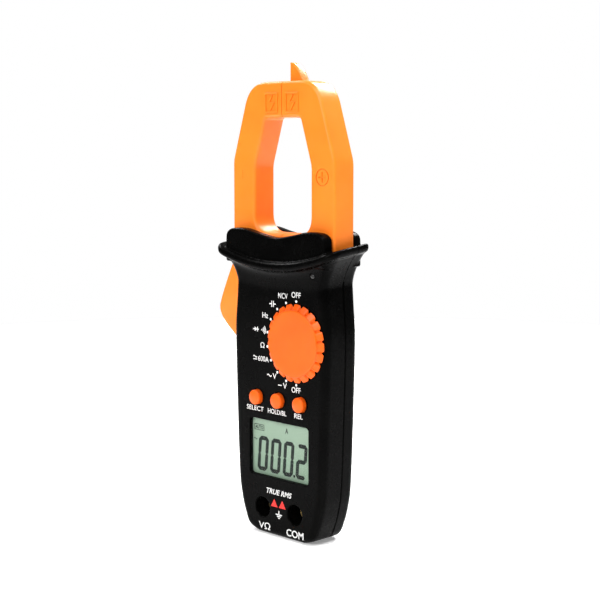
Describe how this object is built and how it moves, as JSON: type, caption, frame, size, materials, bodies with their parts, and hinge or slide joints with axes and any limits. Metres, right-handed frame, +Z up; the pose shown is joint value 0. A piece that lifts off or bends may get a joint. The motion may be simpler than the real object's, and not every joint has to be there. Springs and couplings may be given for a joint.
{
  "type": "clamp meter",
  "caption": "Slim hand-held clamp meter with orange sprung jaws, a rotary dial, keys and a display.",
  "frame": {"origin": "middle of the flat foot of the case, 9.5 mm behind the front face", "axes": "+Z up the meter towards the jaws, -Y out of the front face, +X to the right as the face is read"},
  "size_m": [0.0754, 0.024, 0.197],
  "materials": {
    "black_shell": "satin",
    "orange_shell": "satin",
    "orange_knob": "satin",
    "steel": "satin",
    "brass": "polished",
    "core_iron": "matte",
    "window": "polished",
    "display": "satin",
    "board": "satin",
    "dark_plastic": "matte",
    "white_plastic": "satin",
    "grey_rubber": "matte",
    "cell_sleeve": "gloss"
  },
  "bodies": {
    "case": {"front_case": "black_shell", "rear_case": "black_shell", "battery_cover": "black_shell", "voltage_socket_sleeve": "black_shell", "common_socket_sleeve": "black_shell", "fixed_jaw": "orange_shell", "battery_cover_screw": "steel", "case_screw_1": "steel", "case_screw_2": "steel", "case_screw_3": "steel", "case_screw_4": "steel", "pivot_pin_front": "steel", "pivot_pin_rear": "steel", "trigger_spring": "steel", "quartz_crystal": "steel", "battery_spring_1": "steel", "battery_spring_2": "steel", "battery_plate_1": "steel", "battery_plate_2": "steel", "battery_bridge": "steel", "fixed_core": "core_iron", "voltage_contact_tube": "brass", "common_contact_tube": "brass", "display_window": "window", "display_panel": "display", "main_board": "board", "hall_sensor": "dark_plastic", "measuring_chip": "dark_plastic", "buzzer": "dark_plastic", "display_frame": "dark_plastic", "thermistor": "dark_plastic", "sensor_lead": "white_plastic", "backlight_sheet": "white_plastic", "ncv_led": "white_plastic", "keypad_membrane": "grey_rubber", "contact_strip": "grey_rubber", "battery_1": "cell_sleeve", "battery_2": "cell_sleeve"},
    "jaw": {"moving_jaw": "orange_shell", "trigger_lever": "orange_shell", "moving_core": "core_iron"},
    "dial": {"rotary_knob": "orange_knob", "dial_rotor": "white_plastic", "detent_ball": "steel", "dial_wiper_1": "brass", "dial_wiper_2": "brass", "dial_wiper_3": "brass"},
    "select_key": {"select_button": "orange_knob"},
    "hold_key": {"hold_button": "orange_knob"},
    "relative_key": {"relative_button": "orange_knob"}
  },
  "joints": [
    {"name": "jaw_open", "type": "hinge", "parent": "case", "child": "jaw", "pos_m": [-0.02, -0.0013, 0.119], "axis": [0, -1, 0], "range_deg": [0, 24], "stiffness_Nm_per_rad": 0.35, "springref_deg": -20.05, "deforming": ["trigger_spring"]},
    {"name": "dial_turn", "type": "hinge", "parent": "case", "child": "dial", "pos_m": [0.0106, -0.0095, 0.0835], "axis": [0, 1, 0], "range_deg": [-60, 120]},
    {"name": "select_press", "type": "slide", "parent": "case", "child": "select_key", "axis": [0, 1, 0], "range_m": [0, 0.0006], "stiffness_N_per_m": 600, "springref_m": -0.0008},
    {"name": "hold_press", "type": "slide", "parent": "case", "child": "hold_key", "axis": [0, 1, 0], "range_m": [0, 0.0006], "stiffness_N_per_m": 600, "springref_m": -0.0008},
    {"name": "relative_press", "type": "slide", "parent": "case", "child": "relative_key", "axis": [0, 1, 0], "range_m": [0, 0.0006], "stiffness_N_per_m": 600, "springref_m": -0.0008}
  ]
}
